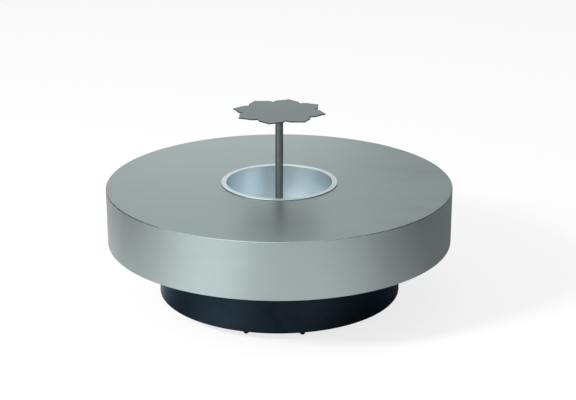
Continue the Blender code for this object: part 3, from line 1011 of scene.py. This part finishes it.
# %% Feet
black_rubber, tree, shader, place = new_material("black_rubber", Specular_IOR_Level=0.35)
specks = use(tree, fine_grain, Vector=place, Size=1600.0)
smudge = use(tree, handling, Vector=place, Size=30.0)["Smudge"]
tone = maths(tree, "MULTIPLY", specks["Patch"], maths(tree, "ADD", smudge, 0.6))
greys = ((0.009, 0.010, 0.011), (0.024, 0.025, 0.026))
surfaced(tree, shader, tone, greys, specks["Grain"], (0.3, 0.7, 0.62, 0.8))
roughened(tree, shader, specks["Grain"], 0.2, 0.0003)

tip_height = 0.004
tip_flare = 0.0004
shoulder_height = 0.0022
shoulder_step = 0.0012
foot_section = [
    (0.0, 0.0),
    (foot_tip_radius, 0.0),
    (foot_tip_radius + tip_flare, tip_height),
    (foot_top_radius - shoulder_step, plinth_low - shoulder_height),
    (foot_top_radius, plinth_low - shoulder_height),
    (foot_top_radius, plinth_low),
    (stem_radius, plinth_low),
    (stem_radius, stem_top),
    (0.0, stem_top),
]
foot_rounds = [(1, 0.0014, 4), (2, 0.001, 3), (4, 0.0006, 3), (5, 0.0003, 2), (7, 0.0008, 2)]
foot_pattern = turn("foot_pattern", foot_section, rounds=foot_rounds, turns=small_turns)
settle_copies(foot_pattern, "rubber_", foot_names, "table", "black_rubber", black_rubber)

# %% [markdown]
# ## Bolts and washers under the plinth
# Four bolts come up through the plinth's board into the drum. From below their low heads show, each with a
# hexagon socket, on plain washers. Head and socket are real shapes: a turned head, and a six-sided pin that
# cuts the socket. Zinc plating is grey with pale and dark flowers, here soft cells of slightly unlike gloss.

# %% Bolts
zinc_steel, tree, shader, place = new_material("zinc_steel", Metallic=1.0)
cells = node(tree, "ShaderNodeTexVoronoi", {"Vector": place, "Scale": 700.0})
flowers = node(tree, "ShaderNodeSeparateColor", {"Color": cells.outputs["Color"]}).outputs
specks = use(tree, fine_grain, Vector=place, Size=1200.0)
tone = maths(tree, "MULTIPLY", flowers[0], specks["Patch"])
surfaced(tree, shader, tone, ((0.40, 0.41, 0.40), (0.56, 0.56, 0.53)), flowers[1], (0.0, 1.0, 0.30, 0.48))
roughened(tree, shader, specks["Grain"], 0.08, 0.0002)


def socket_head(name, source, edge_round, socket_width, socket_depth):
    """A screw with its head down, turned at the origin of the table and given a hexagon socket from below."""
    low = levels_of(source)[0]
    section = stepped_piece(source)
    shank_radius = section[4][0]
    rounds = [(1, edge_round, 4), (2, edge_round / 4, 2), (4, shank_radius / 5, 1)]
    screw = turn(name, section, rounds=rounds, turns=small_turns)
    corner_radius = socket_width / 2 / math.cos(math.pi / 6)
    hexagon = pins([Vector((0.0, 0.0, 0.0))], corner_radius, low - socket_depth, low + socket_depth, sides=6)
    return cut(screw, hexagon)


bolt_names = names_of("drum_bolt_")
bolt_pattern = socket_head(
    "bolt_pattern", bolt_names[0], edge_round=0.0008, socket_width=0.005, socket_depth=0.0025
)
settle_copies(bolt_pattern, "socket_", bolt_names, "table", "zinc_steel", zinc_steel, turned=True)

# %% Washers and inserts
washer_names = names_of("drum_bolt_washer_")
washer_low, washer_high = levels_of(washer_names[0])
washer_section = ring_section(*radii_at(washer_names[0], washer_low), washer_low, washer_high)
washer_rounds = [(0, 0.0002, 2), (1, 0.0004, 3), (2, 0.0002, 2), (3, 0.0002, 2)]
washer_pattern = turn("washer_pattern", washer_section, rounds=washer_rounds, turns=small_turns)
settle_copies(washer_pattern, "pressed_", washer_names, "table", "zinc_steel", zinc_steel)
dress(zinc_steel, *names_of("drum_bolt_insert_"))

# %% [markdown]
# ## The spun bowl
# The bowl is one disc of steel, spun over a former: a flat floor, a round corner, an upright wall and a
# flange with two rolled rims. On the lathe the corners of its section are rounded one by one. Between its
# rims the flange dips by a fraction of a millimetre, so that both rims catch the light. The finish is
# polished steel with fine rings from the former.

# %% Bowl
polished_steel, tree, shader, place = new_material(
    "polished_steel", Metallic=1.0, Anisotropic=0.45, Anisotropic_Rotation=0.25
)
rings = use(tree, turned_rings, Vector=place, Rings=1400.0)
smudge = use(tree, handling, Vector=place, Size=16.0)["Smudge"]
tone = ranged(tree, maths(tree, "ADD", rings["Ring"], rings["Drift"]), 0.7, 1.3, 0.0, 1.0)
dulled = maths(tree, "MULTIPLY_ADD", smudge, 0.35, rings["Drift"])
surfaced(tree, shader, tone, ((0.79, 0.89, 0.93), (0.85, 0.94, 0.98)), dulled, (0.35, 1.0, 0.39, 0.43))
roughened(tree, shader, rings["Ring"], 0.05, 0.0002)
radial_tangent(tree, shader)

bowl_wall = 0.0015
bowl_corner = 0.02
rim_roll = 0.002
flange_dip = 0.0004
flange_zone = 0.02
bowl_points = points_of("ice_bowl")
bowl_top = max(point.z for point in bowl_points)
bowl_under = min(point.z for point in bowl_points)
bowl_floor = bowl_under + bowl_wall
lip_low = min(point.z for point in bowl_points if point.to_2d().length > flange_radius - point_match)
wall_points = [point for point in bowl_points if point.z < table_top - flange_zone]
mouth_radius = max(point.to_2d().length for point in wall_points) - bowl_wall
bowl_section = [
    (0.0, bowl_floor),
    (mouth_radius, bowl_floor),
    (mouth_radius, bowl_top),
    (mouth_radius + 3 * rim_roll, bowl_top - flange_dip),
    (flange_radius - 2 * rim_roll, bowl_top - flange_dip),
    (flange_radius, bowl_top),
    (flange_radius, lip_low),
    (flange_radius - bowl_wall, lip_low),
    (flange_radius - bowl_wall, bowl_top - bowl_wall),
    (mouth_radius + bowl_wall, bowl_top - bowl_wall),
    (mouth_radius + bowl_wall, bowl_under),
    (0.0, bowl_under),
]
bowl_rounds = [
    (1, bowl_corner, 12),
    (2, rim_roll, 6),
    (3, 0.001, 2),
    (4, 0.0008, 2),
    (5, 0.0015, 6),
    (6, 0.0011, 4),
    (9, 0.0012, 3),
    (10, bowl_corner + bowl_wall, 12),
]
spun_bowl = turn("spun_bowl", bowl_section, rounds=bowl_rounds)
settle(spun_bowl, "ice_bowl", "polished_steel", polished_steel, "ice_bowl")

# %% [markdown]
# ## Seal ring and socket
# A rubber ring lies under the flange and keeps water out of the drum. In the middle of the bowl's floor
# stands the socket for the post: a turned steel collar on a round foot. The inner corner between foot and
# collar is filled with a smooth weld, which is the same rounding as an edge, on a corner that points inwards.

# %% Seal ring and socket
seal_section = ring_section(*round_sizes("bowl_seal_ring"))
seal_ring = turn("seal_ring", seal_section, rounds=[(index, 0.0004, 3) for index in range(4)])
settle(seal_ring, "ice_bowl", "black_rubber", black_rubber, "bowl_seal_ring")

socket_bore = radii_at("post_socket", levels_of("post_socket")[0])[0]
socket_rounds = [(2, 0.0009, 4), (3, 0.003, 6), (4, 0.0008, 4), (5, 0.0005, 2)]
socket_section = stepped_piece("post_socket", socket_bore)
socket = turn("welded_socket", socket_section, rounds=socket_rounds, turns=middle_turns)
settle(socket, "ice_bowl", "polished_steel", polished_steel, "post_socket")

# %% [markdown]
# ## Nylon sleeve and plug
# The post turns and lifts in a nylon cup with a collar, and its own foot is closed by a nylon plug. Both are
# turned parts with softly broken edges. Nylon is milky: a little light goes in and comes out again, which
# subsurface scattering gives, and the lathe leaves faint rings.

# %% Nylon pieces
white_nylon, tree, shader, place = new_material(
    "white_nylon",
    Subsurface_Weight=0.25,
    Subsurface_Radius=(0.002, 0.002, 0.0018),
    Subsurface_Scale=1.0,
    Specular_IOR_Level=0.4,
)
rings = use(tree, turned_rings, Vector=place, Rings=2600.0)
smudge = use(tree, handling, Vector=place, Size=40.0)["Smudge"]
whites = ((0.66, 0.66, 0.62), (0.56, 0.555, 0.52))
surfaced(tree, shader, smudge, whites, rings["Drift"], (0.3, 0.7, 0.38, 0.52))
roughened(tree, shader, rings["Ring"], 0.15, 0.0002)

sleeve_low, sleeve_floor, collar_low, sleeve_high = levels_of("turning_sleeve")
sleeve_radius = radii_at("turning_sleeve", sleeve_low)[1]
sleeve_bore, collar_radius = radii_at("turning_sleeve", sleeve_high)
sleeve_section = [
    (0.0, sleeve_low),
    (sleeve_radius, sleeve_low),
    (sleeve_radius, collar_low),
    (collar_radius, collar_low),
    (collar_radius, sleeve_high),
    (sleeve_bore, sleeve_high),
    (sleeve_bore, sleeve_floor),
    (0.0, sleeve_floor),
]
sleeve_rounds = [(1, 0.0008, 3), (3, 0.0003, 2), (4, 0.0008, 4), (5, 0.0005, 3)]
collared_sleeve = turn("collared_sleeve", sleeve_section, rounds=sleeve_rounds, turns=middle_turns)
settle(collared_sleeve, "turning_sleeve", "white_nylon", white_nylon, "turning_sleeve")

plug_rounds = [(1, 0.0009, 4), (4, 0.0008, 3)]
foot_plug = turn("foot_plug", stepped_piece("post_plug"), rounds=plug_rounds, turns=middle_turns)
settle(foot_plug, "drinks_stand", "white_nylon", white_nylon, "post_plug")

# %% [markdown]
# ## The post
# The post is a 25 mm tube, ground while it turns and left darker than the sheets. The fine rings blur its
# reflections upwards and downwards, so it shows one pale stripe left of the middle, where the front panel of
# the room is mirrored, and dark sides. The anisotropy stands upright by a quarter turn, as on the band.

# %% Post
post_finish, tree, shader = brushed(
    "ground_dark_steel",
    tones=((0.228, 0.254, 0.259), (0.278, 0.304, 0.309)),
    roughness=(0.44, 0.50),
    hairlines=(20.0, 20.0, 2200.0),
    streaks=(6.0, 6.0, 520.0),
    clouds=(60.0, 60.0, 18.0),
    Anisotropic=0.65,
    Anisotropic_Rotation=0.25,
)
radial_tangent(tree, shader)

post_rounds = [(0, 0.0002, 1), (1, 0.0004, 3), (2, 0.0003, 2), (3, 0.0002, 1)]
post_section = ring_section(*round_sizes("post_tube"))
post = turn("ground_post", post_section, rounds=post_rounds, turns=middle_turns)
settle(post, "drinks_stand", "dark_steel", post_finish, "post_tube")

# %% [markdown]
# ## The flower tray
# The tray is cut from one 4 mm plate: eight petals, each with a full belly, a drawn-out tip and a sharp notch
# to the next. One side of a petal is a Bezier curve from notch to tip, made into a mesh, mirrored, and spun
# eight times round the middle. The outline is filled, pulled up to the plate's thickness, and its long edges
# are broken. How far tips and notches lie from the middle, and how the flower is turned, is read from the
# frame.

# %% Tray outline
petal_count = 8
half_angle = math.pi / petal_count
side_steps = 20
side_shares = ((0.0, 1.0), (0.6, 1.02), (0.54, 0.5), (1.0, 0.0))
tip_digits = 4
tray_low, tray_high = (corner.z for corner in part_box("flower_tray"))
rim_points = [point.to_2d() for point in points_of("flower_tray") if point.z > tray_high - point_match]
tip_radius = max(point.length for point in rim_points)
notch_radius = min(point.length for point in rim_points)
first_tip = max(rim_points, key=lambda point: (round(point.length, tip_digits), point.x))
petal_turn = math.atan2(first_tip.y, first_tip.x)
notch = Vector((notch_radius * math.cos(half_angle), notch_radius * math.sin(half_angle), 0.0))
handles = [
    Vector((notch.x + (tip_radius - notch.x) * out_share, notch.y * across_share, 0.0))
    for out_share, across_share in side_shares
]

deselect_all()
bpy.ops.curve.primitive_bezier_curve_add(location=(0.0, 0.0, 0.0))
petal_side = bpy.context.object
petal_side.data.resolution_u = side_steps
start, end = petal_side.data.splines[0].bezier_points
for point in (start, end):
    point.handle_left_type = "FREE"
    point.handle_right_type = "FREE"
start.co, start.handle_left, start.handle_right = handles[0], handles[0], handles[1]
end.co, end.handle_left, end.handle_right = handles[3], handles[2], handles[3]
bpy.ops.object.convert(target="MESH")
flower = bpy.context.object
flower.name = "petal_tray"
flower.data.name = "petal_tray"
print(f"tips {tip_radius:.4f}, notches {notch_radius:.4f}, turned {math.degrees(petal_turn):.1f} degrees")

# %% Tray plate
petal_match = 0.00002
plate_round = 0.00035
centre = (0.0, 0.0, 0.0)

edit(flower)
bpy.ops.mesh.select_all(action="SELECT")
bpy.ops.mesh.duplicate()
bpy.ops.transform.mirror(constraint_axis=(False, True, False), center_override=centre)
bpy.ops.mesh.select_all(action="SELECT")
bpy.ops.mesh.remove_doubles(threshold=merge_distance)
bpy.ops.mesh.spin(steps=petal_count, dupli=True, angle=math.tau, center=centre, axis=(0.0, 0.0, 1.0))
bpy.ops.mesh.select_all(action="SELECT")
bpy.ops.mesh.remove_doubles(threshold=petal_match)
bpy.ops.transform.rotate(value=-petal_turn, orient_axis="Z", center_override=centre)
bpy.ops.transform.translate(value=(0.0, 0.0, tray_low))
bpy.ops.mesh.edge_face_add()
bpy.ops.mesh.extrude_region_move(TRANSFORM_OT_translate={"value": (0.0, 0.0, tray_high - tray_low)})
tidy_surface()
pick(flower, "EDGE", lambda edge: abs(edge.verts[0].co.z - edge.verts[1].co.z) < point_match)
bpy.ops.mesh.bevel(offset=plate_round, offset_type="OFFSET", segments=2, affect="EDGES")
tidy_surface()
finish_shape(flower)
print("plate", tuple(round(side, 4) for side in flower.dimensions))

# %% [markdown]
# ### A cut edge
# A laser leaves the edge of a plate darker than its face. The object's own normal tells face from edge: on
# the faces it points straight up or down. The group puts out the edge as a mask.

# %% Cut edge group
cut_edge, given, results = new_group("cut_edge", ("Edge",), Normal=None)
facing = node(cut_edge, "ShaderNodeSeparateXYZ", {"Vector": given["Normal"]}).outputs["Z"]
put_out(cut_edge, results, Edge=ranged(cut_edge, maths(cut_edge, "ABSOLUTE", facing), 0.55, 0.9, 1.0, 0.0))


def with_cut_edge(tree, shader, edge_colour, edge_roughness):
    """Darkens the cut edge of a plate, over the finish of its faces."""
    edge = use(tree, cut_edge, Normal=node(tree, "ShaderNodeTexCoord").outputs["Normal"])["Edge"]
    face_colour = shader.inputs["Base Color"].links[0].from_socket
    tree.links.new(mixed(tree, edge, face_colour, colour(*edge_colour)), shader.inputs["Base Color"])
    gloss_where(tree, shader, edge, edge_roughness)


# %% Tray finish and holes
edge_colour = (0.085, 0.095, 0.095)
edge_roughness = 0.55

tray_finish, tree, shader = brushed(
    "plate_brushed_steel",
    tones=((0.288, 0.341, 0.341), (0.312, 0.365, 0.363)),
    roughness=(0.55, 0.58),
    hairlines=(30.0, 2600.0, 1.0),
    streaks=(9.0, 420.0, 1.0),
    clouds=(9.0, 16.0, 1.0),
    Anisotropic=0.2,
)
straight_tangent(tree, shader, (0.0, 1.0, 0.0))
with_cut_edge(tree, shader, edge_colour, edge_roughness)

screw_names = names_of("hub_screw_")
screw_places = [middle_of(name) for name in screw_names]
screw_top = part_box(screw_names[0])[1].z
screw_hole = radii_at(screw_names[0], screw_top)[1] + hole_clearance
cut(flower, pins(screw_places, screw_hole, tray_low - cutter_overrun, screw_top + hole_clearance))
settle(flower, "drinks_stand", "brushed_steel", tray_finish, "flower_tray")

# %% [markdown]
# ## Hub and screws
# A flanged hub is pushed into the top of the post and carries the plate on three short screws. It is only
# seen from below, but it is what makes the stand believable. The hub is turned, drilled and given the same
# steel as the plate. The screws are small sisters of the bolts.

# %% Hub and screws
hub_rounds = [(1, 0.0008, 3), (3, 0.0012, 4), (4, 0.0004, 2)]
hub = turn("turned_hub", stepped_piece("tray_hub"), rounds=hub_rounds, turns=middle_turns)
flange_low, flange_high = levels_of("tray_hub")[1:]
cut(hub, pins(screw_places, screw_hole, flange_low - cutter_overrun, flange_high + cutter_overrun))
settle(hub, "drinks_stand", "brushed_steel", tray_finish, "tray_hub")

screw_pattern = socket_head(
    "screw_pattern", screw_names[0], edge_round=0.0006, socket_width=0.002, socket_depth=0.0012
)
settle_copies(screw_pattern, "socket_", screw_names, "drinks_stand", "zinc_steel", zinc_steel, turned=True)

# %% [markdown]
# ## The end
# Nothing is left selected.

# %% Clear the selection
deselect_all()
